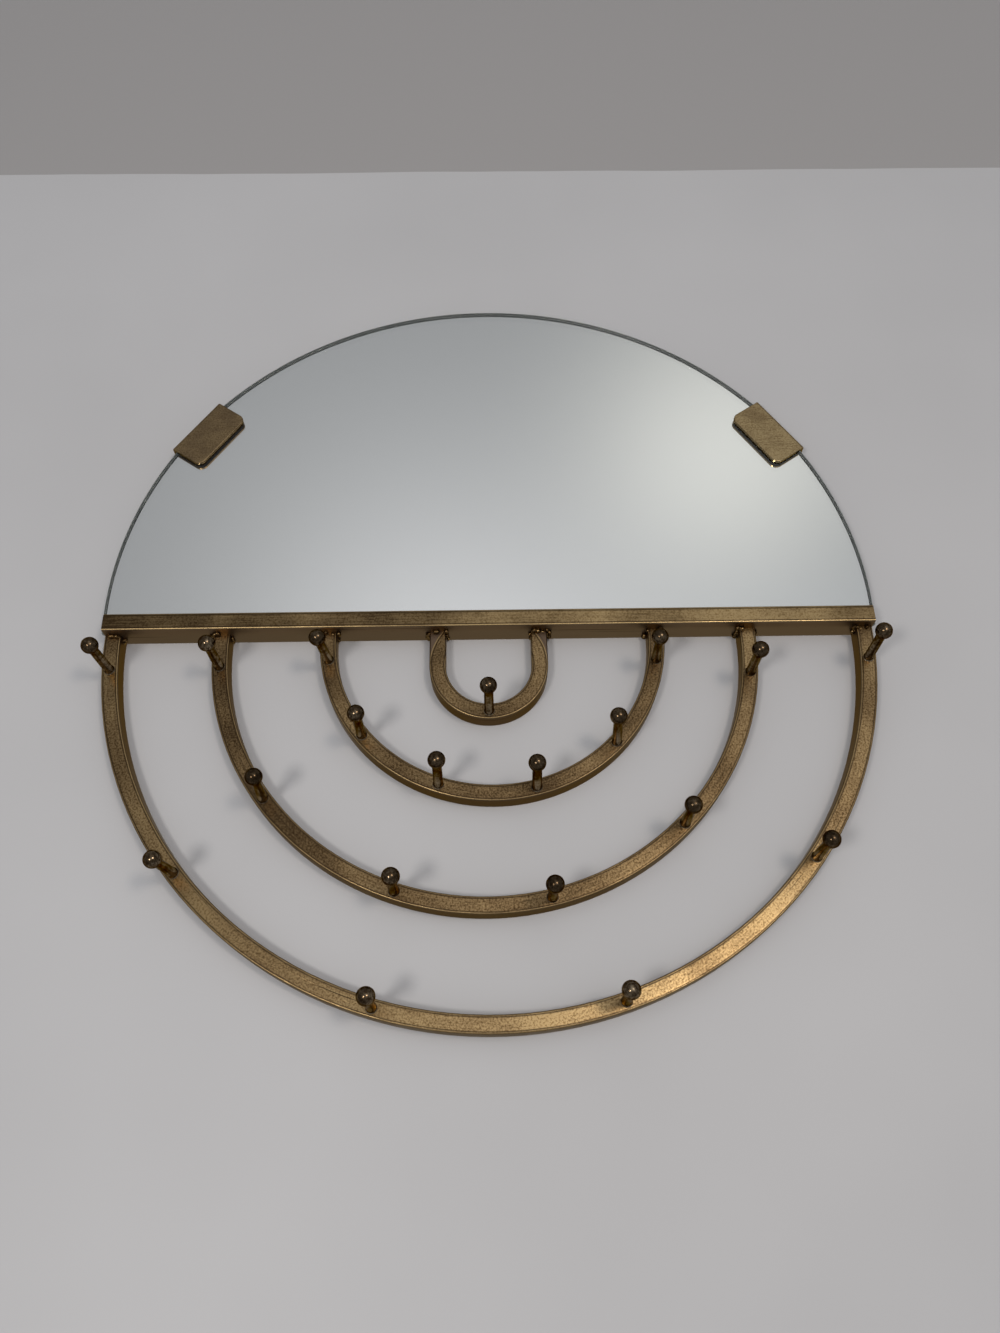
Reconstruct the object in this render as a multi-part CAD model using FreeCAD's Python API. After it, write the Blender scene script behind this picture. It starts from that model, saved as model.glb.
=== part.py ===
import FreeCAD, Part
import math
import os

from FreeCAD import Vector

# Half-round wall mirror over a welded frame of half rings that carry ball-ended pegs for jewellery.
# Origin: centre of the cross bar's back face. +X is right, +Z is up, the front faces -Y and the wall is y = 0.

# Cross bar
frame_radius = 190.0  # half the bar's length, and the outer radius of the largest half ring
bar_height = 9.0
bar_depth = 15.0
edge_radius = 0.8  # eased front edges of the bar and of the half rings

# Half rings
arc_width = 8.0
arc_depth = 9.0
second_radius = 134.0
third_radius = 85.0
inner_radius = 29.0
second_leg = 6.0  # straight run between the bar and the half circle
third_leg = 3.0
inner_leg = 18.0
second_shift = -2.5  # sideways place of a half ring, as the welder set it
third_shift = 1.0
inner_shift = -1.0

# Pegs
peg_diameter = 4.5
ball_diameter = 8.0
peg_reach = 26.0  # from the face of the half ring to the centre of the ball

# Welds between the half rings and the bar
weld_leg = 2.5
weld_root = 0.5  # how far the bead runs in behind the face of the half ring

# Mirror glass
glass_overhang = 3.0  # of the glass past each end of the bar
glass_thickness = 3.0
glass_rise = 17.5  # centre of the glass above the underside of the bar
glass_back_gap = 5.0  # between the wall and the back of the glass
groove_floor = 2.0  # metal left under the glass in the bar's groove
groove_clearance = 0.2

# Clips over the glass edge, with their felt
clip_width = 38.0
clip_thickness = 1.5
clip_bend_radius = 1.6  # outside of the two folds
clip_edge_radius = 0.4  # eased outline of the front leaf
clip_front_length = 18.2
clip_rear_length = 24.0
clip_corner_radius = 4.0
left_clip_angle = -55.0  # degrees from upright, about the glass's centre
right_clip_angle = 56.0
pad_thickness = 1.0
pad_inset = 2.0

# Uprights and hanger rail behind the glass
strap_width = 16.0
strap_thickness = 1.2
rail_height = 18.0
rail_thickness = 1.2
rail_height_share = 0.7  # of the uprights' length
hole_diameter = 8.0
hole_spacing = 120.0

overrun = 5.0  # past a face, for cuts

# Degrees about each half ring's own centre, from +X
peg_angles = {
    "outer": (-174.2, -140.0, -106.4, -72.7, -38.8, -5.2),
    "second": (-174.8, -142.4, -108.7, -77.5, -46.3, -8.0),
    "third": (-171.5, -140.4, -108.8, -76.1, -44.5, -9.8),
    "inner": (-90.2,),
}
# Degrees that each hand-welded peg leans to the right and upwards
peg_leans = {
    "outer": ((-1.6, 0.2), (-3.4, -2.1), (1.0, 1.4), (-2.3, 1.1), (-1.5, 0.7), (-2.0, 1.5)),
    "second": ((0.3, -1.1), (2.1, 2.2), (1.5, -0.6), (-0.4, -1.8), (-1.2, 0.0), (-2.3, -2.3)),
    "third": ((-3.7, -2.4), (0.3, -0.3), (0.8, 4.5), (-1.6, 4.4), (-3.6, 4.4), (-3.9, -2.3)),
    "inner": ((-0.7, 2.8),),
}

# Places that follow from the sizes
bar_bottom = -bar_height / 2
bar_top = bar_height / 2
arc_front = -arc_depth
glass_back = -glass_back_gap
glass_front = glass_back - glass_thickness
glass_radius = frame_radius + glass_overhang
glass_centre = bar_bottom + glass_rise
glass_bottom = bar_bottom + groove_floor
clip_rear_front = glass_back + pad_thickness
strap_front = clip_rear_front + clip_thickness
rail_front = strap_front + strap_thickness
clip_angles = {"left": left_clip_angle, "right": right_clip_angle}
half_turn = 180.0

# Each half ring: outer radius, straight leg, sideways shift
arcs = {
    "outer": (frame_radius, 0, 0),
    "second": (second_radius, second_leg, second_shift),
    "third": (third_radius, third_leg, third_shift),
    "inner": (inner_radius, inner_leg, inner_shift),
}


def bar_section(place, depth, low, high):
    # Face of a bar from the wall to its front, with the two front corners eased
    front = -depth
    corner = front + edge_radius
    middle = edge_radius * (1 - math.sqrt(0.5))
    edges = [
        Part.LineSegment(place(0, low), place(corner, low)).toShape(),
        Part.Arc(
            place(corner, low), place(front + middle, low + middle), place(front, low + edge_radius)
        ).toShape(),
        Part.LineSegment(place(front, low + edge_radius), place(front, high - edge_radius)).toShape(),
        Part.Arc(
            place(front, high - edge_radius), place(front + middle, high - middle), place(corner, high)
        ).toShape(),
        Part.LineSegment(place(corner, high), place(0, high)).toShape(),
        Part.LineSegment(place(0, high), place(0, low)).toShape(),
    ]
    return Part.Face(Part.Wire(edges))


def cross_bar():
    section = bar_section(lambda y, z: Vector(-frame_radius, y, z), bar_depth, bar_bottom, bar_top)
    bar = section.extrude(Vector(2 * frame_radius, 0, 0))
    groove_width = glass_thickness + 2 * groove_clearance
    groove = Part.makeBox(
        2 * (frame_radius + overrun), groove_width, bar_top - glass_bottom + overrun,
        Vector(-frame_radius - overrun, glass_front - groove_clearance, glass_bottom),
    )
    return bar.cut(groove)


def arc_centre(name):
    _, leg, shift = arcs[name]
    return Vector(shift, 0, bar_bottom - leg)


def half_ring(name):
    radius, leg, _ = arcs[name]
    centre = arc_centre(name)
    section = bar_section(
        lambda y, x: centre + Vector(x, y, 0), arc_depth, radius - arc_width, radius
    )
    ring = section.revolve(centre, Vector(0, 1, 0), half_turn)
    if leg:
        right = section.extrude(Vector(0, 0, leg))
        left = right.mirror(centre, Vector(1, 0, 0))
        ring = ring.fuse([right, left]).removeSplitter()
    return ring


def peg(name, angle, lean):
    # A rod that stands on the face of its half ring, and the ball on its end
    radius = arcs[name][0] - arc_width / 2
    turn = math.radians(angle)
    base = arc_centre(name) + Vector(radius * math.cos(turn), arc_front, radius * math.sin(turn))
    right = math.tan(math.radians(lean[0]))
    up = math.tan(math.radians(lean[1]))
    axis = Vector(right, -1, up)
    tip = base + axis * peg_reach
    rod = Part.makeCylinder(
        peg_diameter / 2, (axis * (peg_reach + overrun)).Length, base - axis * overrun, axis
    )
    span = peg_reach + ball_diameter
    in_front = Part.makeBox(
        2 * span, span, 2 * span, base + Vector(-span, -span, -span)
    )
    ball = Part.makeSphere(ball_diameter / 2, tip)
    return Part.makeCompound([rod.common(in_front).cut(ball), ball])


def rectangle(left, right, front, back, height):
    return Part.makePolygon([
        Vector(left, front, height),
        Vector(right, front, height),
        Vector(right, back, height),
        Vector(left, back, height),
        Vector(left, front, height),
    ])


def weld(name, side, ring):
    # Bead round the front and both sides of a half ring, in the corner under the bar
    radius, _, shift = arcs[name]
    middle = shift + side * (radius - arc_width / 2)
    half = arc_width / 2
    toe = half + weld_leg
    root = half - weld_root
    upper = rectangle(middle - toe, middle + toe, arc_front - weld_leg, 0, bar_bottom)
    lower = rectangle(
        middle - root, middle + root, arc_front + weld_root, 0, bar_bottom - weld_leg - weld_root
    )
    bead = Part.makeLoft([upper, lower], True, True).cut(ring)
    reach = frame_radius - weld_root
    under_bar = Part.makeBox(
        2 * reach, bar_depth, bar_height, Vector(-reach, -bar_depth, bar_bottom - bar_height)
    )
    return bead.common(under_bar)


def mirror_glass():
    half_chord = math.sqrt(glass_radius ** 2 - (glass_centre - glass_bottom) ** 2)
    left = Vector(-half_chord, glass_front, glass_bottom)
    right = Vector(half_chord, glass_front, glass_bottom)
    top = Vector(0, glass_front, glass_centre + glass_radius)
    outline = Part.Wire([Part.Arc(left, top, right).toShape(), Part.LineSegment(right, left).toShape()])
    return Part.Face(outline).extrude(Vector(0, glass_thickness, 0))


def tongue(width, bottom, top, front, thickness, corner):
    # Flat plate with its two lower corners rounded
    half = width / 2
    middle = corner * (1 - math.sqrt(0.5))
    points = [
        Vector(-half, front, top),
        Vector(-half, front, bottom + corner),
        Vector(-half + corner, front, bottom),
        Vector(half - corner, front, bottom),
        Vector(half, front, bottom + corner),
        Vector(half, front, top),
    ]
    left_middle = Vector(-half + middle, front, bottom + middle)
    right_middle = Vector(half - middle, front, bottom + middle)
    outline = Part.Wire([
        Part.LineSegment(points[0], points[1]).toShape(),
        Part.Arc(points[1], left_middle, points[2]).toShape(),
        Part.LineSegment(points[2], points[3]).toShape(),
        Part.Arc(points[3], right_middle, points[4]).toShape(),
        Part.LineSegment(points[4], points[5]).toShape(),
        Part.LineSegment(points[5], points[0]).toShape(),
    ])
    return Part.Face(outline).extrude(Vector(0, thickness, 0))


def turned(shape, side):
    # From the top of the glass round to the clip's place on its edge
    shape.rotate(Vector(0, 0, glass_centre), Vector(0, 1, 0), clip_angles[side])
    return shape


def clip(side):
    edge = glass_centre + glass_radius
    outside = edge + clip_thickness
    front = glass_front - clip_thickness
    front_leaf = tongue(
        clip_width, edge - clip_front_length, outside, front, clip_thickness, clip_corner_radius
    )
    rear_leaf = tongue(
        clip_width, edge - clip_rear_length, outside, clip_rear_front, clip_thickness, clip_corner_radius
    )
    fold = Part.makeBox(clip_width, strap_front - front, clip_thickness, Vector(-clip_width / 2, front, edge))
    strip = front_leaf.fuse([fold, rear_leaf]).removeSplitter()
    # Round the outside of both folds, then ease the front leaf's outline
    folds = [e for e in strip.Edges if e.BoundBox.ZMin > edge + clip_thickness / 2]
    folds = [e for e in folds if e.BoundBox.XLength > clip_width / 2]
    strip = strip.makeFillet(clip_bend_radius, folds)
    outline = [e for e in strip.Edges if e.BoundBox.YMax < front + clip_edge_radius / 2]
    outline = [e for e in outline if e.BoundBox.ZMin < edge - clip_thickness]
    strip = strip.makeFillet(clip_edge_radius, outline)
    return turned(strip, side)


def clip_pad(side):
    edge = glass_centre + glass_radius
    pad = tongue(
        clip_width - 2 * pad_inset, edge - clip_rear_length + pad_inset, edge - pad_inset,
        glass_back, pad_thickness, clip_corner_radius - pad_inset,
    )
    return turned(pad, side)


def clip_middle(side):
    # Centre of the clip's rear leaf
    radius = glass_radius - clip_rear_length / 2
    turn = math.radians(clip_angles[side])
    return Vector(radius * math.sin(turn), 0, glass_centre + radius * math.cos(turn))


def strap(side):
    # Upright with a round top, from the bar's rear lip to the middle of the clip
    seat = clip_middle(side)
    half = strap_width / 2
    shank = Part.makeBox(
        strap_width, strap_thickness, seat.z - bar_top, Vector(seat.x - half, strap_front, bar_top)
    )
    end = Part.makeCylinder(half, strap_thickness, Vector(seat.x, strap_front, seat.z), Vector(0, 1, 0))
    return shank.fuse(end).removeSplitter()


def hanger_rail():
    left = clip_middle("left")
    right = clip_middle("right")
    half = rail_height / 2
    height = bar_top + (min(left.z, right.z) - bar_top) * rail_height_share
    rail = Part.makeBox(
        right.x - left.x, rail_thickness, rail_height, Vector(left.x, rail_front, height - half)
    )
    ends = [
        Part.makeCylinder(half, rail_thickness, Vector(x, rail_front, height), Vector(0, 1, 0))
        for x in (left.x, right.x)
    ]
    rail = rail.fuse(ends).removeSplitter()
    for x in (-hole_spacing / 2, hole_spacing / 2):
        hole = Part.makeCylinder(
            hole_diameter / 2, rail_thickness + 2 * overrun, Vector(x, rail_front - overrun, height), Vector(0, 1, 0)
        )
        rail = rail.cut(hole)
    print("hanging holes at height", round(height, 4))
    return rail


def build():
    nodes = {"mirror_glass": mirror_glass(), "cross_bar": cross_bar(), "hanger_rail": hanger_rail()}
    for name in arcs:
        ring = half_ring(name)
        nodes[name + "_arc"] = ring
        nodes[name + "_weld_left"] = weld(name, -1, ring)
        nodes[name + "_weld_right"] = weld(name, 1, ring)
        for number, (angle, lean) in enumerate(zip(peg_angles[name], peg_leans[name]), 1):
            nodes[name + "_peg_" + str(number)] = peg(name, angle, lean)
    for side in clip_angles:
        nodes[side + "_clip"] = clip(side)
        nodes[side + "_clip_pad"] = clip_pad(side)
        nodes[side + "_strap"] = strap(side)
    return nodes


os.makedirs("parts", exist_ok=True)
for node, shape in build().items():
    print(node, len(shape.Solids), round(shape.Volume, 1), shape.isValid())
    shape.exportStep("parts/" + node + ".step")
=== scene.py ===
import math
import random

import bmesh
import bpy
from mathutils import Matrix, Vector


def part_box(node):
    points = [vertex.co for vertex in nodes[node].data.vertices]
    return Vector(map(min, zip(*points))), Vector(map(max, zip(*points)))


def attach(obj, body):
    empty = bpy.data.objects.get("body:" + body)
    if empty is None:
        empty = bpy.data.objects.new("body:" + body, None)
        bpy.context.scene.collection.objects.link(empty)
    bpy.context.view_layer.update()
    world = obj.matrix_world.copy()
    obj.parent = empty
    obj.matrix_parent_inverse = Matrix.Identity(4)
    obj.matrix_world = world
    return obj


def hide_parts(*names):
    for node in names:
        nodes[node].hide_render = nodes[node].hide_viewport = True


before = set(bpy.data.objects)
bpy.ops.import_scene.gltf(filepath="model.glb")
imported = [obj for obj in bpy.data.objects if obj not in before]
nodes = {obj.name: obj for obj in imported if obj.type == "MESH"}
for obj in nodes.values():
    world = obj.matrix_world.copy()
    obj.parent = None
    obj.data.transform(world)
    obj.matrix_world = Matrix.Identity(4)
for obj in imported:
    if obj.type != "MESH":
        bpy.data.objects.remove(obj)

# Half-round wall mirror over a welded brass frame of half rings with ball-ended jewellery pegs.
# Metres, in the frame of the part: +X right, +Z up, the front faces -Y and the wall is y = 0.

mm = 0.001
black, white = (0, 0, 0, 1), (1, 1, 1, 1)
noiseLow, noiseHigh = 0.3, 0.7  # where most of a noise pattern's values lie
meshing = {
    "merge": 0.002 * mm,        # points nearer than this are one
    "near": 0.01 * mm,          # reach for finding points by their place
    "sharp": math.radians(38),  # edges that turn by more than this stay crisp
    "facing": 0.95,             # share of a normal along Y for a front or back face
    "level": 0.999,             # the same, for a face that is truly flat to the wall
}
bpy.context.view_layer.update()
print("frame loaded with", len(nodes), "nodes")


def hexColour(code):
    parts = [int(code[i:i + 2], 16) / 255 for i in (1, 3, 5)]
    return [c / 12.92 if c <= 0.04045 else ((c + 0.055) / 1.055) ** 2.4 for c in parts] + [1.0]


def addNode(tree, kind, settings=None, links=None):
    node = tree.nodes.new(kind)
    for name, value in (settings or {}).items():
        if name == "stops":
            while len(node.color_ramp.elements) < len(value):
                node.color_ramp.elements.new(1.0)
            for element, (place, colour) in zip(node.color_ramp.elements, value):
                element.position = place
                element.color = colour
        elif isinstance(name, str) and hasattr(node, name):
            setattr(node, name, value)
        else:
            node.inputs[name].default_value = value
    for name, socket in (links or {}).items():
        tree.links.new(socket, node.inputs[name])
    return node


def newMaterial(name):
    material = bpy.data.materials.new(name)
    material.use_nodes = True
    tree = material.node_tree
    tree.nodes.clear()
    output = addNode(tree, "ShaderNodeOutputMaterial")
    return material, tree, output


def dress(piece, *materials):
    piece.data.materials.clear()
    for material in materials:
        piece.data.materials.append(material)


def finishPiece(name, shape, materials, replaced):
    bmesh.ops.remove_doubles(shape, verts=shape.verts, dist=meshing["merge"])
    bmesh.ops.recalc_face_normals(shape, faces=shape.faces)
    for face in shape.faces:
        face.smooth = abs(face.normal.y) < meshing["level"]  # faces flat to the wall keep one even normal
    for edge in shape.edges:
        edge.smooth = len(edge.link_faces) == 2 and edge.calc_face_angle() < meshing["sharp"]
    mesh = bpy.data.meshes.new(name)
    shape.to_mesh(mesh)
    shape.free()
    piece = bpy.data.objects.new(name, mesh)
    bpy.context.scene.collection.objects.link(piece)
    for material in materials:
        mesh.materials.append(material)
    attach(piece, "root")
    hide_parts(*replaced)
    return piece


# Antique brass: brass-plated steel, brushed along its length, darkened and rubbed back by hand.
# The eye sees fine streaks along each bar, dark specks left in the grain and pale rubbed patches, with a
# painted dark reflection and a painted highlight along each edge, painted shade on the sides and a painted
# light slope across each part.
brass = {
    "hollow": "#4F3F2B",     # patina left in the grain
    "body": "#7F694A",
    "rubbedAndLit": "#A88F66",     # high spots rubbed back to bright metal, also the colour of the painted light slope and the painted edge highlight
    "edge": "#3B2E20",       # patina in scratches, also the painted dark reflection inside each edge
    "fleck": "#C4BAA9",      # tone of the pits over the metal
    "side": "#6B5A4B",       # painted shade: sides darker than the front
    "grazing": "#B3A48D",    # what the plating gives at a low angle
    "grainWidth": 0.45 * mm,  # brush lines, drawn twice as coarse as real so that they show
    "grainLength": 14 * mm,
    "speck": 0.9 * mm,       # pits in the plating, coarser than real so that they show
    "speckShare": 0.85,      # how much the pits break up the rubbed patches
    "cloud": 38 * mm,        # slow changes of tone
    "grainShare": 0.55,      # brush lines in the rubbed pattern
    "cloudShare": 0.9,       # clouds in the rubbed pattern
    "wornAndLit": (0.98, 1.5),     # pattern values, painted light slope included, at which the bright end starts and is full
    "pits": (0.36, 0.52),    # pit noise from the floor of a pit to clean metal
    "scratchWidth": 0.5 * mm,
    "scratchLength": 60 * mm,
    "scratchSpacing": 0.6,
    "scratches": (0.34, 0.28),  # scratch noise from clean metal to the floor of a scratch
    "ragged": 0.5 * mm,      # how far the brush lines move the edge lines
    "paintedDarkEdgeLine": (0.62, 0.76, 0.86),  # painted dark reflection inside each edge, in shares of the half width
    "wornEdgeHighlight": (0.82, 0.88, 0.93, 0.98),  # the edge itself, rubbed bright and painted with a highlight
    "brightShare": 0.8,
    "sideLine": (0.94, 0.985),  # where the side begins
    "roughLow": 0.28,
    "roughHigh": 0.42,
    "bump": 0.06 * mm,
    "bumpShare": 0.6,
    "paintedLightSlope": (0, 0, 0),        # painted light: how the bright share grows along x, y and z, per metre, lighter towards one side
}


def antiqueBrass(name, look, centre=(0, 0, 0), along="X", ring=None, halfWidth=None):
    material, tree, output = newMaterial(name)
    place = addNode(tree, "ShaderNodeTexCoord")
    local = addNode(tree, "ShaderNodeMapping", {"Location": [-c for c in centre]},
                    {"Vector": place.outputs["Object"]})
    split = addNode(tree, "ShaderNodeSeparateXYZ", None, {0: local.outputs[0]})
    x, y, z = split.outputs
    if ring:
        # grain that follows the ring: distance from its centre, run along it, depth
        flat = addNode(tree, "ShaderNodeCombineXYZ", None, {0: x, 1: z})
        distance = addNode(tree, "ShaderNodeVectorMath", {"operation": "LENGTH"}, {0: flat.outputs[0]})
        turn = addNode(tree, "ShaderNodeMath", {"operation": "ARCTAN2"}, {0: z, 1: x})
        travel = addNode(tree, "ShaderNodeMath", {"operation": "MULTIPLY", 1: ring}, {0: turn.outputs[0]})
        offset = addNode(tree, "ShaderNodeMath", {"operation": "SUBTRACT", 1: ring},
                         {0: distance.outputs["Value"]})
        across, run, depth, edgeLine = distance.outputs["Value"], travel.outputs[0], y, offset.outputs[0]
    elif along == "X":
        across, run, depth, edgeLine = z, x, y, z
    else:
        across, run, depth, edgeLine = x, y, z, x
    lines = addNode(tree, "ShaderNodeCombineXYZ", None, {0: across, 1: run, 2: depth})
    width, length = look["grainWidth"], look["grainLength"]
    grainPlace = addNode(tree, "ShaderNodeMapping", {"Scale": (1 / width, 1 / length, 1 / width)},
                         {0: lines.outputs[0]})
    grain = addNode(tree, "ShaderNodeTexNoise", {"Scale": 1.0, "Detail": 3.0, "Roughness": 0.6},
                    {0: grainPlace.outputs[0]})
    speck = addNode(tree, "ShaderNodeTexNoise", {"Scale": 1 / look["speck"], "Detail": 4.0, "Roughness": 0.65},
                    {0: local.outputs[0]})
    cloud = addNode(tree, "ShaderNodeTexNoise", {"Scale": 1 / look["cloud"], "Detail": 3.0, "Roughness": 0.55},
                    {0: local.outputs[0]})
    width, length = look["scratchWidth"], look["scratchLength"]
    scratchPlace = addNode(tree, "ShaderNodeMapping", {"Scale": (1 / width, 1 / length, 1 / width)},
                           {0: lines.outputs[0]})
    scratch = addNode(tree, "ShaderNodeTexNoise",
                      {"Scale": look["scratchSpacing"], "Detail": 2.0, "Roughness": 0.7},
                      {0: scratchPlace.outputs[0]})
    clean, floor = look["scratches"]
    scored = addNode(tree, "ShaderNodeMapRange", {"From Min": clean, "From Max": floor},
                     {"Value": scratch.outputs[0]})

    # bright share: slow clouds broken up by grain and pits, plus a painted light slope
    share = look["speckShare"]
    pitted = addNode(tree, "ShaderNodeMath", {"operation": "MULTIPLY_ADD", 1: share, 2: (1 - share) / 2},
                     {0: speck.outputs[0]})
    mixed = addNode(tree, "ShaderNodeMath", {"operation": "MULTIPLY_ADD", 1: look["grainShare"]},
                    {0: grain.outputs[0], 2: pitted.outputs[0]})
    whole = addNode(tree, "ShaderNodeMath", {"operation": "MULTIPLY_ADD", 1: look["cloudShare"]},
                    {0: cloud.outputs[0], 2: mixed.outputs[0]})
    # painted light: a slope along x, y and z makes each part lighter towards one side
    paintedLightTerm = addNode(tree, "ShaderNodeVectorMath", {"operation": "DOT_PRODUCT", 1: look["paintedLightSlope"]},
                    {0: local.outputs[0]})
    rubbedAndLit = addNode(tree, "ShaderNodeMath", {"operation": "ADD"},
                     {0: paintedLightTerm.outputs["Value"], 1: whole.outputs[0]})
    wornFrom, wornTo = look["wornAndLit"]
    wornAndLit = addNode(tree, "ShaderNodeMapRange", {"From Min": wornFrom, "From Max": wornTo},
                   {"Value": rubbedAndLit.outputs[0]})
    colour = addNode(tree, "ShaderNodeValToRGB", {"stops": [
        (0.0, hexColour(look["hollow"])), (0.5, hexColour(look["body"])), (1.0, hexColour(look["rubbedAndLit"]))]},
        {0: wornAndLit.outputs[0]})
    pitFloor, pitRim = look["pits"]
    fleck = addNode(tree, "ShaderNodeValToRGB",
                    {"stops": [(pitFloor, hexColour(look["fleck"])), (pitRim, white)]}, {0: speck.outputs[0]})
    top = addNode(tree, "ShaderNodeMix", {"data_type": "RGBA", "blend_type": "MULTIPLY", 0: 1.0},
                  {6: colour.outputs[0], 7: fleck.outputs[0]}).outputs[2]
    dark = scored.outputs[0]
    if halfWidth:
        # across the face: a painted dark reflection inside each edge, the edge itself rubbed bright and painted
        # with a highlight, painted shade on the sides
        side = addNode(tree, "ShaderNodeMath", {"operation": "ABSOLUTE"}, {0: edgeLine})
        ragged = addNode(tree, "ShaderNodeMath", {"operation": "MULTIPLY_ADD", 1: look["ragged"]},
                         {0: grain.outputs[0], 2: side.outputs[0]})
        middle = look["ragged"] / 2
        reach = addNode(tree, "ShaderNodeMapRange", {"From Min": middle, "From Max": halfWidth + middle},
                        {"Value": ragged.outputs[0]})
        # painted dark reflection: a dark line inside each edge
        rim = addNode(tree, "ShaderNodeValToRGB", {"stops": list(zip(look["paintedDarkEdgeLine"], (black, white, black)))},
                      {0: reach.outputs[0]})
        # painted highlight along the edge itself, on top of its rubbed wear
        bright = [look["brightShare"]] * 3 + [1]
        shine = addNode(tree, "ShaderNodeValToRGB",
                        {"stops": list(zip(look["wornEdgeHighlight"], (black, bright, bright, black)))},
                        {0: reach.outputs[0]})
        # painted shade: the sides take a darker colour of their own
        sideFrom, sideTo = look["sideLine"]
        wall = addNode(tree, "ShaderNodeMapRange", {"From Min": sideFrom, "From Max": sideTo},
                       {"Value": reach.outputs[0]})
        top = addNode(tree, "ShaderNodeMix", {"data_type": "RGBA", 7: hexColour(look["rubbedAndLit"])},
                      {0: shine.outputs[0], 6: top}).outputs[2]
        top = addNode(tree, "ShaderNodeMix", {"data_type": "RGBA", 7: hexColour(look["side"])},
                      {0: wall.outputs[0], 6: top}).outputs[2]
        dark = addNode(tree, "ShaderNodeMath", {"operation": "MAXIMUM"},
                       {0: rim.outputs[0], 1: dark}).outputs[0]
    top = addNode(tree, "ShaderNodeMix", {"data_type": "RGBA", 7: hexColour(look["edge"])},
                  {0: dark, 6: top}).outputs[2]
    rough = addNode(tree, "ShaderNodeMapRange", {"To Min": look["roughHigh"], "To Max": look["roughLow"]},
                    {"Value": wornAndLit.outputs[0]})
    height = addNode(tree, "ShaderNodeMath", {"operation": "SUBTRACT"}, {0: mixed.outputs[0], 1: dark})
    bump = addNode(tree, "ShaderNodeBump", {"Strength": look["bumpShare"], "Distance": look["bump"]},
                   {"Height": height.outputs[0]})
    shader = addNode(tree, "ShaderNodeBsdfPrincipled",
                     {"Metallic": 1.0, "Specular Tint": hexColour(look["grazing"])},
                     {"Base Color": top, "Roughness": rough.outputs[0], "Normal": bump.outputs[0]})
    tree.links.new(shader.outputs[0], output.inputs["Surface"])
    return material


# Cross bar and half rings keep their imported shapes, each with grain along its own run.
# painted light: each ring's slope makes it lighter towards one side, the outer ring towards the bottom
rings = {
    "outer": {"centre": (0, 0, -4.5 * mm), "radius": 190 * mm, "paintedLightSlope": (-0.1, 0, -1.15)},
    "second": {"centre": (-2.5 * mm, 0, -10.5 * mm), "radius": 134 * mm, "paintedLightSlope": (0.4, 0, 0.3)},
    "third": {"centre": (1 * mm, 0, -7.5 * mm), "radius": 85 * mm, "paintedLightSlope": (-0.3, 0, 0.6)},
    "inner": {"centre": (-1 * mm, 0, -22.5 * mm), "radius": 29 * mm, "paintedLightSlope": (0, 0, 2.0)},
}
section = {"arcWidth": 8 * mm, "arcDepth": 9 * mm, "barHeight": 9 * mm}

# painted light: the bar is lighter towards the right, and its sides take a lighter painted shade than the
# rings' sides
barBrass = dict(brass, body="#85704F", rubbedAndLit="#AF966C", side="#7F6D58", fleck="#DDD6CA", speckShare=0.4,
                paintedLightSlope=(0.85, 0, 0))
barFinish = antiqueBrass("antique_brass_bar", barBrass, halfWidth=section["barHeight"] / 2)
dress(nodes["cross_bar"], barFinish)
for ringName, ring in rings.items():
    finish = antiqueBrass("antique_brass_" + ringName, dict(brass, paintedLightSlope=ring["paintedLightSlope"]), ring["centre"],
                          ring=ring["radius"] - section["arcWidth"] / 2, halfWidth=section["arcWidth"] / 2)
    dress(nodes[ringName + "_arc"], finish)
print("bar and half rings dressed")

# Pegs: turned pins with a round head, brazed on the front of each ring and leaning a little, as fitted by hand.
pegs = {
    "rodRadius": 2.25 * mm,
    "ballRadius": 4 * mm,
    "reach": 26 * mm,
    "sink": 0.35 * mm,        # foot let into the ring, so a leaning pin leaves no gap
    "flare": 0.45 * mm,
    "flareHeight": 0.6 * mm,
    "flareCurve": (0.3, 0.35),  # share of the flare's width at a share of its height
    "neckBevel": 0.45 * mm,
    "neckSegments": 3,
    "ballSteps": 18,
    "roundSteps": 40,
    "angles": {               # degrees round the ring's centre
        "outer": (-174.2, -140.0, -106.4, -72.7, -38.8, -5.2),
        "second": (-174.8, -142.4, -108.7, -77.5, -46.3, -8.0),
        "third": (-171.5, -140.4, -108.8, -76.1, -44.5, -9.8),
        "inner": (-90.2,),
    },
    "leans": {                # degrees sideways and upwards
        "outer": ((-1.6, 0.2), (-3.4, -2.1), (1.0, 1.4), (-2.3, 1.1), (-1.5, 0.7), (-2.0, 1.5)),
        "second": ((0.3, -1.1), (2.1, 2.2), (1.5, -0.6), (-0.4, -1.8), (-1.2, 0.0), (-2.3, -2.3)),
        "third": ((-3.7, -2.4), (0.3, -0.3), (0.8, 4.5), (-1.6, 4.4), (-3.6, 4.4), (-3.9, -2.3)),
        "inner": ((-0.7, 2.8),),
    },
}
pegBrass = dict(brass, hollow="#372C20", body="#554736", rubbedAndLit="#94856F", edge="#332A21", fleck="#D6CFC4",
                grazing="#B0A28C", grainWidth=0.5 * mm, grainLength=9 * mm, speck=1.4 * mm, speckShare=0.6,
                cloud=11 * mm, roughLow=0.13, roughHigh=0.22, bump=0.02 * mm,
                paintedLightSlope=(0, 8, 0))  # painted light and shade: rods lighter than their heads
pegFinish = antiqueBrass("antique_brass_pegs", pegBrass, centre=(0, -33 * mm, 0), along="Y")


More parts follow.
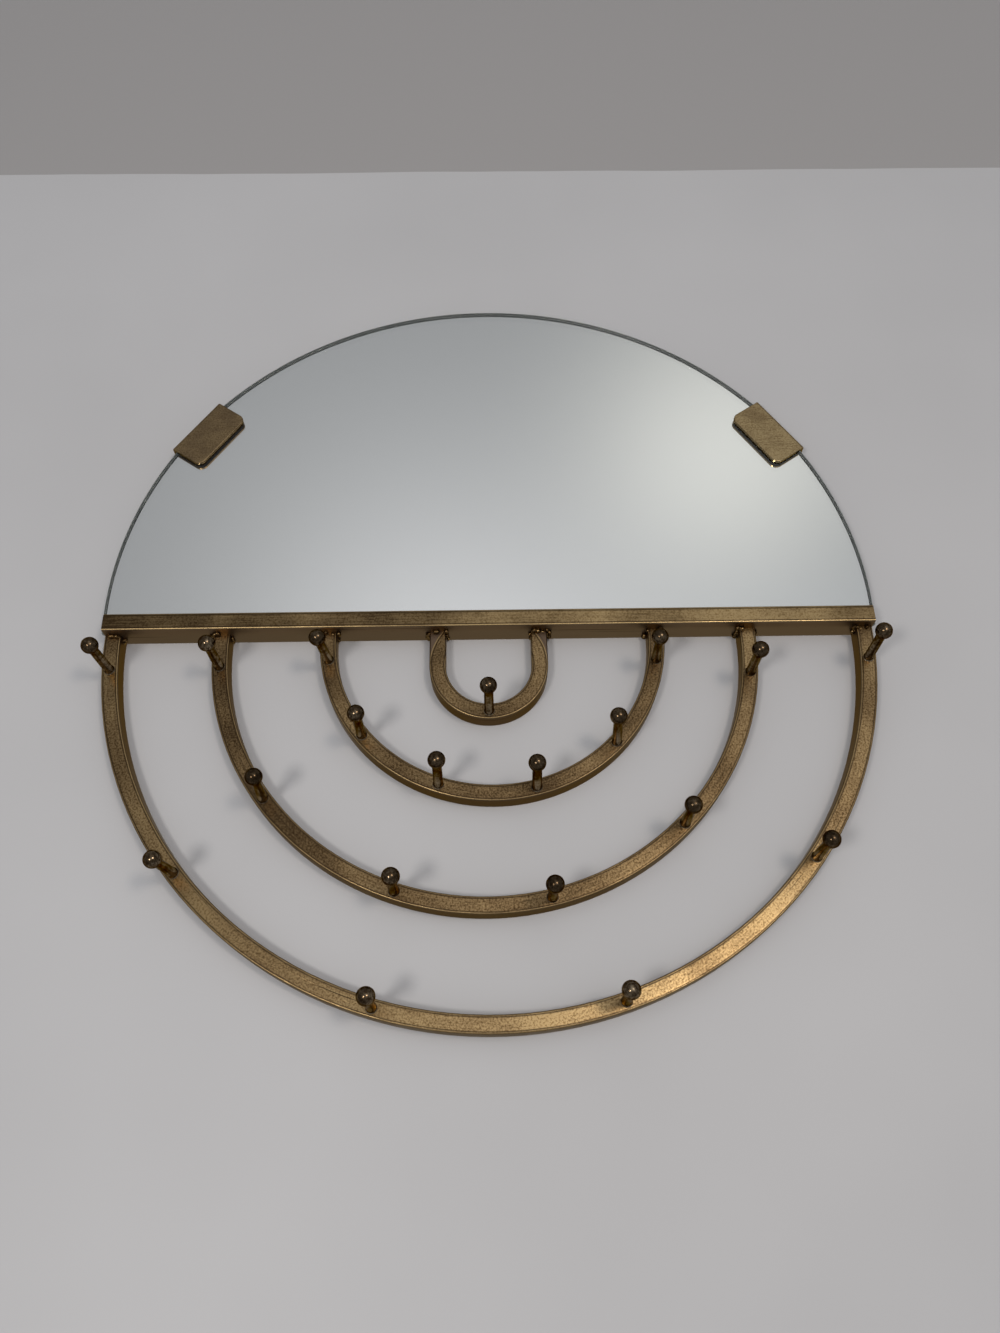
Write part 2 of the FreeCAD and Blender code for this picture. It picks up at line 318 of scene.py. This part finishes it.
def makePeg(name, place, settings):
    shape = bmesh.new()
    head = shape.verts.new((0, 0, settings["reach"] + settings["ballRadius"]))
    ballTurn = math.pi - math.asin(settings["rodRadius"] / settings["ballRadius"])
    ball = bmesh.ops.spin(shape, geom=[head], cent=(0, 0, settings["reach"]), axis=(0, 1, 0), angle=ballTurn,
                          steps=settings["ballSteps"])
    point = [v for v in ball["geom_last"] if isinstance(v, bmesh.types.BMVert)][0]
    neckHeight = point.co.z
    rodRadius, flareHeight, sink = settings["rodRadius"], settings["flareHeight"], settings["sink"]
    footRadius = rodRadius + settings["flare"]
    widthShare, heightShare = settings["flareCurve"]
    curve = (rodRadius + settings["flare"] * widthShare, flareHeight * heightShare)
    for radius, rise in ((rodRadius, flareHeight), curve, (footRadius, 0), (footRadius, -sink), (0, -sink)):
        point = bmesh.ops.extrude_vert_indiv(shape, verts=[point])["verts"][0]
        point.co = (radius, 0, rise)
    bmesh.ops.spin(shape, geom=shape.verts[:] + shape.edges[:], cent=(0, 0, 0), axis=(0, 0, 1), angle=math.tau,
                   steps=settings["roundSteps"], use_merge=True)
    bmesh.ops.remove_doubles(shape, verts=shape.verts, dist=meshing["merge"])
    neck = [e for e in shape.edges if all(abs(v.co.z - neckHeight) < meshing["near"] for v in e.verts)]
    bmesh.ops.bevel(shape, geom=neck, offset=settings["neckBevel"], offset_type="OFFSET",
                    segments=settings["neckSegments"], profile=0.5, affect="EDGES", material=-1)
    bmesh.ops.transform(shape, matrix=place, verts=shape.verts)
    finishPiece(name, shape, [pegFinish], [name.replace("_pin", "")])


for ringName, ring in rings.items():
    middle = ring["radius"] - section["arcWidth"] / 2
    for count, (angle, lean) in enumerate(zip(pegs["angles"][ringName], pegs["leans"][ringName]), 1):
        turn = math.radians(angle)
        foot = Vector((middle * math.cos(turn), -section["arcDepth"], middle * math.sin(turn)))
        foot += Vector(ring["centre"])
        axis = Vector((math.tan(math.radians(lean[0])), -1, math.tan(math.radians(lean[1]))))
        turned = Vector((0, 0, 1)).rotation_difference(axis.normalized()).to_matrix().to_4x4()
        makePeg(f"{ringName}_peg_{count}_pin", Matrix.Translation(foot) @ turned,
                dict(pegs, reach=pegs["reach"] * axis.length))
print("pegs turned")

# Braze beads where each ring meets the bar: a run of small lumps, left as they cooled.
beads = {
    "lumps": 22,
    "radiusLow": 0.9 * mm,
    "radiusHigh": 1.3 * mm,
    "hangLow": 0.25,          # how far a lump's middle hangs below the bar, in shares of its radius
    "hangHigh": 0.8,
    "roundness": 3,
    "voxel": 0.3 * mm,
    "rounds": 5,              # of smoothing, as if melted together
    "seed": 4,
}
beadBrass = dict(brass, hollow="#3B2C1B", body="#6E583A", rubbedAndLit="#A0865C", speck=0.8 * mm, cloud=4 * mm,
                 roughLow=0.22, roughHigh=0.45, bump=0.06 * mm)
beadFinish = antiqueBrass("antique_brass_braze", beadBrass)


def makeBead(node, settings):
    low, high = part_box(node)
    chance = random.Random(settings["seed"] + sum(map(ord, node)))
    shape = bmesh.new()
    for _ in range(settings["lumps"]):
        size = chance.uniform(settings["radiusLow"], settings["radiusHigh"])
        spot = Vector()
        for way, (a, b) in enumerate(zip(low, high)):
            spot[way] = chance.uniform(min(a + size, (a + b) / 2), max(b - size, (a + b) / 2))
        # melted into the bar above
        spot.z = high[2] - size * chance.uniform(settings["hangLow"], settings["hangHigh"])
        bmesh.ops.create_icosphere(shape, subdivisions=settings["roundness"], radius=size,
                                   matrix=Matrix.Translation(spot))
    bead = finishPiece(node + "_bead", shape, [beadFinish], [node])
    remesh = bead.modifiers.new("joined", "REMESH")
    remesh.mode = "VOXEL"
    remesh.voxel_size = settings["voxel"]
    remesh.use_smooth_shade = True
    melt = bead.modifiers.new("melted", "SMOOTH")
    melt.iterations = settings["rounds"]


for node in sorted(nodes):
    if "_weld_" in node:
        makeBead(node, beads)
print("braze beads laid")

# Mirror pane: 3 mm float glass, silvered behind, with a seamed edge that shows as a grey-green line.
pane = {
    "radius": 192.99 * mm,
    "centreZ": 13 * mm,
    "bottomZ": -2.5 * mm,
    "frontY": -8 * mm,
    "backY": -5.05 * mm,
    "arris": 0.45 * mm,
    "arrisSegments": 2,
    "segments": 256,
    "silverInset": 0.5 * mm,
    "silverFrontY": -5.12 * mm,
    "silverBackY": -5 * mm,
    "glass": "#FAFCFB",
    "glassIor": 1.52,
    "edgeDark": "#666B68",
    "edgeLight": "#949A96",
    "edgeGrit": 0.6 * mm,     # grinding marks, coarser than real so that they show
    "edgeRough": (0.25, 0.5),
    "silver": "#F1F1F1",
    "haze": 60 * mm,
    "hazeRough": 0.05,
    "paintDark": "#8E9193",
    "paintLight": "#A3A6A6",
    "paintCloud": 70 * mm,
    "paintRough": 0.6,
    "peel": 1.6 * mm,
    "peelHeight": 0.05 * mm,
    "peelShare": 0.4,
}


def floatGlass():
    # clear float glass: sharp reflections and a very faint green body
    material, tree, output = newMaterial("clear_float_glass")
    shader = addNode(tree, "ShaderNodeBsdfPrincipled", {
        "Base Color": hexColour(pane["glass"]), "Roughness": 0.0, "IOR": pane["glassIor"],
        "Transmission Weight": 1.0})
    tree.links.new(shader.outputs[0], output.inputs["Surface"])
    return material


def seamedEdge():
    # edge ground with a belt: matt, grey-green, with fine cross scratches
    material, tree, output = newMaterial("seamed_glass_edge")
    place = addNode(tree, "ShaderNodeTexCoord")
    grit = addNode(tree, "ShaderNodeTexNoise", {"Scale": 1 / pane["edgeGrit"], "Detail": 3.0},
                   {0: place.outputs["Object"]})
    tone = addNode(tree, "ShaderNodeValToRGB", {"stops": [
        (noiseLow, hexColour(pane["edgeDark"])), (noiseHigh, hexColour(pane["edgeLight"]))]},
        {0: grit.outputs[0]})
    smooth, coarse = pane["edgeRough"]
    rough = addNode(tree, "ShaderNodeMapRange", {"To Min": smooth, "To Max": coarse},
                    {"Value": grit.outputs[0]})
    shader = addNode(tree, "ShaderNodeBsdfPrincipled", {"IOR": pane["glassIor"]},
                     {"Base Color": tone.outputs[0], "Roughness": rough.outputs[0]})
    tree.links.new(shader.outputs[0], output.inputs["Surface"])
    return material


def silvering():
    # silver film behind the glass: bright and even, with the faintest cloudiness
    material, tree, output = newMaterial("mirror_silvering")
    place = addNode(tree, "ShaderNodeTexCoord")
    haze = addNode(tree, "ShaderNodeTexNoise", {"Scale": 1 / pane["haze"], "Detail": 2.0},
                   {0: place.outputs["Object"]})
    rough = addNode(tree, "ShaderNodeMapRange", {"To Min": 0.0, "To Max": pane["hazeRough"]},
                    {"Value": haze.outputs[0]})
    shader = addNode(tree, "ShaderNodeBsdfPrincipled",
                     {"Base Color": hexColour(pane["silver"]), "Metallic": 1.0},
                     {"Roughness": rough.outputs[0]})
    tree.links.new(shader.outputs[0], output.inputs["Surface"])
    return material


def backingPaint():
    # sprayed grey backing paint: matt with a faint orange peel
    material, tree, output = newMaterial("mirror_backing_paint")
    place = addNode(tree, "ShaderNodeTexCoord")
    peel = addNode(tree, "ShaderNodeTexNoise", {"Scale": 1 / pane["peel"], "Detail": 2.0},
                   {0: place.outputs["Object"]})
    cloud = addNode(tree, "ShaderNodeTexNoise", {"Scale": 1 / pane["paintCloud"], "Detail": 3.0},
                    {0: place.outputs["Object"]})
    tone = addNode(tree, "ShaderNodeValToRGB", {"stops": [
        (noiseLow, hexColour(pane["paintDark"])), (noiseHigh, hexColour(pane["paintLight"]))]},
        {0: cloud.outputs[0]})
    bump = addNode(tree, "ShaderNodeBump", {"Strength": pane["peelShare"], "Distance": pane["peelHeight"]},
                   {"Height": peel.outputs[0]})
    shader = addNode(tree, "ShaderNodeBsdfPrincipled", {"Roughness": pane["paintRough"]},
                     {"Base Color": tone.outputs[0], "Normal": bump.outputs[0]})
    tree.links.new(shader.outputs[0], output.inputs["Surface"])
    return material


def halfDisc(radius, bottomZ, frontY, backY, arris):
    shape = bmesh.new()
    upright = Matrix.Translation((0, frontY, pane["centreZ"])) @ Matrix.Rotation(math.pi / 2, 4, "X")
    bmesh.ops.create_circle(shape, cap_ends=True, segments=pane["segments"], radius=radius, matrix=upright)
    bmesh.ops.bisect_plane(shape, geom=shape.verts[:] + shape.edges[:] + shape.faces[:],
                           plane_co=(0, 0, bottomZ), plane_no=(0, 0, -1), clear_outer=True)
    back = bmesh.ops.extrude_face_region(shape, geom=shape.faces[:], use_keep_orig=True)["geom"]
    moved = [v for v in back if isinstance(v, bmesh.types.BMVert)]
    bmesh.ops.translate(shape, vec=(0, backY - frontY, 0), verts=moved)
    bmesh.ops.recalc_face_normals(shape, faces=shape.faces)
    if arris:
        flat = [f for f in shape.faces if abs(f.normal.y) > meshing["facing"]]
        rim = list({e for f in flat for e in f.edges})
        bmesh.ops.bevel(shape, geom=rim, offset=arris, offset_type="OFFSET", segments=pane["arrisSegments"],
                        profile=0.5, affect="EDGES", material=-1)
    return shape


glassShape = halfDisc(pane["radius"], pane["bottomZ"], pane["frontY"], pane["backY"], pane["arris"])
for face in glassShape.faces:
    face.material_index = 0 if abs(face.normal.y) > meshing["facing"] else 1
finishPiece("mirror_pane", glassShape, [floatGlass(), seamedEdge()], ["mirror_glass"])
silverShape = halfDisc(pane["radius"] - pane["silverInset"], pane["bottomZ"], pane["silverFrontY"],
                       pane["silverBackY"], 0)
for face in silverShape.faces:
    face.material_index = 0 if face.normal.y < -meshing["facing"] else 1
finishPiece("mirror_silver", silverShape, [silvering(), backingPaint()], ["mirror_glass"])
print("mirror silvered")

# Clips, straps and rail: pressed steel strip with the same plating, smoother and satin, browner than the bars.
clipBrass = dict(brass, hollow="#7A674E", body="#937E5D", rubbedAndLit="#AE9973", edge="#4E3F2C", fleck="#D9D2C6",
                 speck=0.8 * mm, speckShare=0.6, cloud=16 * mm, grainWidth=0.7 * mm, grainLength=10 * mm,
                 scratchLength=30 * mm, roughLow=0.25, roughHigh=0.36, bump=0.02 * mm)
backBrass = dict(clipBrass, hollow="#6A5539", body="#866F4B", rubbedAndLit="#9C8358")
# painted light: the clips are lighter towards the right
clipFinish = antiqueBrass("satin_brass_clips", dict(clipBrass, paintedLightSlope=(0.8, 0, 0)))
backFinish = antiqueBrass("satin_brass_back", backBrass)
for side in ("left", "right"):
    dress(nodes[side + "_clip"], clipFinish)
    dress(nodes[side + "_strap"], backFinish)
dress(nodes["hanger_rail"], backFinish)

# Felt pads between the back of the glass and the clips.
pads = {
    "dark": "#232220",
    "light": "#4A4743",
    "fibre": 0.5 * mm,        # coarser than real so that the fibres show
    "nap": 0.15 * mm,
    "napShare": 0.8,
    "rough": 0.95,
    "sheen": 0.3,
}


def woolFelt():
    # pressed wool felt: soft, dark, with short crossing fibres
    material, tree, output = newMaterial("pressed_wool_felt")
    place = addNode(tree, "ShaderNodeTexCoord")
    fibre = addNode(tree, "ShaderNodeTexNoise",
                    {"Scale": 1 / pads["fibre"], "Detail": 5.0, "Roughness": 0.7, "Distortion": 1.5},
                    {0: place.outputs["Object"]})
    tone = addNode(tree, "ShaderNodeValToRGB", {"stops": [
        (noiseLow, hexColour(pads["dark"])), (noiseHigh, hexColour(pads["light"]))]}, {0: fibre.outputs[0]})
    bump = addNode(tree, "ShaderNodeBump", {"Strength": pads["napShare"], "Distance": pads["nap"]},
                   {"Height": fibre.outputs[0]})
    shader = addNode(tree, "ShaderNodeBsdfPrincipled",
                     {"Roughness": pads["rough"], "Sheen Weight": pads["sheen"]},
                     {"Base Color": tone.outputs[0], "Normal": bump.outputs[0]})
    tree.links.new(shader.outputs[0], output.inputs["Surface"])
    return material


felt = woolFelt()
for side in ("left", "right"):
    dress(nodes[side + "_clip_pad"], felt)
print("clips, back and pads dressed")

# Stage: a pale table top right behind the part, with a darker grey beyond its far edge.
stage = {
    "tableY": 0.3 * mm,
    "tableSize": 3.0,
    "tableColour": "#C6C6C8",
    "shadeShare": 0.93,       # of that colour in the darker clouds
    "cloud": 200 * mm,
    "rough": 0.5,
    "shine": 0.25,
    "edgeZ": 0.337,           # far edge of the table top
    "edgeWave": 5 * mm,
    "beyondColour": "#A6A4A4",
    "nearPass": 12 * mm,      # rays this near go through, so the back of the part is lit in views from behind
}


def paleTable():
    # painted board: even and pale, with slow clouds, seen from the front only
    material, tree, output = newMaterial("pale_table")
    place = addNode(tree, "ShaderNodeTexCoord")
    split = addNode(tree, "ShaderNodeSeparateXYZ", None, {0: place.outputs["Object"]})
    cloud = addNode(tree, "ShaderNodeTexNoise", {"Scale": 1 / stage["cloud"], "Detail": 3.0},
                    {0: place.outputs["Object"]})
    light = hexColour(stage["tableColour"])
    shade = [c * stage["shadeShare"] for c in light[:3]] + [1.0]
    tone = addNode(tree, "ShaderNodeValToRGB", {"stops": [(noiseLow, shade), (noiseHigh, light)]},
                   {0: cloud.outputs[0]})
    waved = addNode(tree, "ShaderNodeMath", {"operation": "MULTIPLY_ADD", 1: stage["edgeWave"]},
                    {0: cloud.outputs[0], 2: split.outputs[2]})
    beyond = addNode(tree, "ShaderNodeMath", {"operation": "GREATER_THAN", 1: stage["edgeZ"]},
                     {0: waved.outputs[0]})
    both = addNode(tree, "ShaderNodeMix", {"data_type": "RGBA", 7: hexColour(stage["beyondColour"])},
                   {0: beyond.outputs[0], 6: tone.outputs[0]})
    solid = addNode(tree, "ShaderNodeBsdfPrincipled",
                    {"Roughness": stage["rough"], "Specular IOR Level": stage["shine"]},
                    {"Base Color": both.outputs[2]})
    clear = addNode(tree, "ShaderNodeBsdfTransparent")
    ray = addNode(tree, "ShaderNodeLightPath")
    facing = addNode(tree, "ShaderNodeNewGeometry")
    near = addNode(tree, "ShaderNodeMath", {"operation": "LESS_THAN", 1: stage["nearPass"]},
                   {0: ray.outputs["Ray Length"]})
    bounced = addNode(tree, "ShaderNodeMath", {"operation": "SUBTRACT", "use_clamp": True},
                      {0: near.outputs[0], 1: ray.outputs["Is Camera Ray"]})
    passes = addNode(tree, "ShaderNodeMath", {"operation": "MAXIMUM"},
                     {0: bounced.outputs[0], 1: facing.outputs["Backfacing"]})
    surface = addNode(tree, "ShaderNodeMixShader", None,
                      {0: passes.outputs[0], 1: solid.outputs[0], 2: clear.outputs[0]})
    tree.links.new(surface.outputs[0], output.inputs["Surface"])
    return material


half, tableY = stage["tableSize"] / 2, stage["tableY"]
tableShape = bmesh.new()
tableShape.faces.new([tableShape.verts.new((x * half, tableY, z * half))
                      for x, z in ((-1, -1), (1, -1), (1, 1), (-1, 1))])
tableMesh = bpy.data.meshes.new("table_top")
tableShape.to_mesh(tableMesh)
tableShape.free()
tableMesh.materials.append(paleTable())
tableTop = bpy.data.objects.new("table_top", tableMesh)
bpy.context.scene.collection.objects.link(tableTop)
print("table set")

# Light: a soft room with a pale ceiling patch that the mirror shows, and two small soft lamps in front.
room = {
    "base": "#999A9C",        # plain background, the same to the camera, the metal and the glass
    "glows": {
        "ceiling": {"towards": (-0.04, -0.9, 0.43), "narrow": 42.0, "strength": 1.0, "colour": "#A1A0A1"},
        "warm": {"towards": (0.224, -0.76, 0.59), "narrow": 119.0, "strength": 1.0, "colour": "#AAA9A1"},
        "window": {"towards": (0.28, -0.96, 0.0), "narrow": 25.0, "strength": 1.85, "colour": "#F5F8FF"},
        "behind": {"towards": (0.1, 1.0, 0.2), "narrow": 3.0, "strength": 0.22, "colour": "#FFFFFF"},
    },
}
lamps = {
    "right": {"place": (0.53, -1.5, -0.12), "size": 0.26, "power": 3.8, "colour": "#FFF0DE"},
    "left": {"place": (-0.40, -1.0, -0.46), "size": 0.20, "power": 3.0, "colour": "#FFFAF4"},
}

world = bpy.data.worlds.new("room")
bpy.context.scene.world = world
world.use_nodes = True
sky = world.node_tree
sky.nodes.clear()
direction = addNode(sky, "ShaderNodeTexCoord")
total = addNode(sky, "ShaderNodeRGB")
total.outputs[0].default_value = hexColour(room["base"])
ray = addNode(sky, "ShaderNodeLightPath")
unseen = addNode(sky, "ShaderNodeMath", {"operation": "SUBTRACT", 0: 1.0}, {1: ray.outputs["Is Camera Ray"]})
for glow in room["glows"].values():
    # soft round glow, brightest towards one direction, that lights as a lamp does without showing itself
    towards = Vector(glow["towards"]).normalized()
    dot = addNode(sky, "ShaderNodeVectorMath", {"operation": "DOT_PRODUCT", 1: towards},
                  {0: direction.outputs["Generated"]})
    fall = addNode(sky, "ShaderNodeMath", {"operation": "MULTIPLY_ADD", 1: glow["narrow"], 2: -glow["narrow"]},
                   {0: dot.outputs["Value"]})
    share = addNode(sky, "ShaderNodeMath", {"operation": "EXPONENT"}, {0: fall.outputs[0]})
    lit = addNode(sky, "ShaderNodeMath", {"operation": "MULTIPLY"},
                  {0: share.outputs[0], 1: unseen.outputs[0]})
    colour = [c * glow["strength"] for c in hexColour(glow["colour"])[:3]]
    tint = addNode(sky, "ShaderNodeVectorMath", {"operation": "SCALE", 0: colour}, {"Scale": lit.outputs[0]})
    total = addNode(sky, "ShaderNodeVectorMath", {"operation": "ADD"},
                    {0: total.outputs[0], 1: tint.outputs[0]})
background = addNode(sky, "ShaderNodeBackground", {"Strength": 1.0}, {0: total.outputs[0]})
addNode(sky, "ShaderNodeOutputWorld", None, {0: background.outputs[0]})

for lampName, settings in lamps.items():
    lamp = bpy.data.lights.new("lamp_" + lampName, "AREA")
    lamp.shape = "DISK"
    lamp.size = settings["size"]
    lamp.energy = settings["power"]
    lamp.color = hexColour(settings["colour"])[:3]
    holder = bpy.data.objects.new("lamp_" + lampName, lamp)
    bpy.context.scene.collection.objects.link(holder)
    holder.location = settings["place"]
    holder.rotation_euler = (-Vector(settings["place"])).to_track_quat("-Z", "Y").to_euler()
print("room lit")

# Camera: hand-held in front and below, looking up the mirror.
shot = {
    "place": (-0.00224, -0.47193, -0.24956),
    "tilt": 115.966,
    "roll": -0.743,
    "pan": -0.731,
    "focalPixels": 1057.25,
    "frameHeight": 1333,
    "sensor": 36.0,
    "clipStart": 0.01,
}
lens = bpy.data.cameras.new("camera")
lens.sensor_width = shot["sensor"]
lens.lens = shot["focalPixels"] * shot["sensor"] / shot["frameHeight"]
lens.clip_start = shot["clipStart"]
camera = bpy.data.objects.new("camera", lens)
bpy.context.scene.collection.objects.link(camera)
camera.location = shot["place"]
turned = Matrix.Identity(3)
for turn, axis in (("tilt", "X"), ("roll", "Y"), ("pan", "Z")):
    turned = turned @ Matrix.Rotation(math.radians(shot[turn]), 3, axis)
camera.rotation_euler = turned.to_euler()
bpy.context.scene.camera = camera
bpy.context.scene.view_settings.view_transform = "Standard"
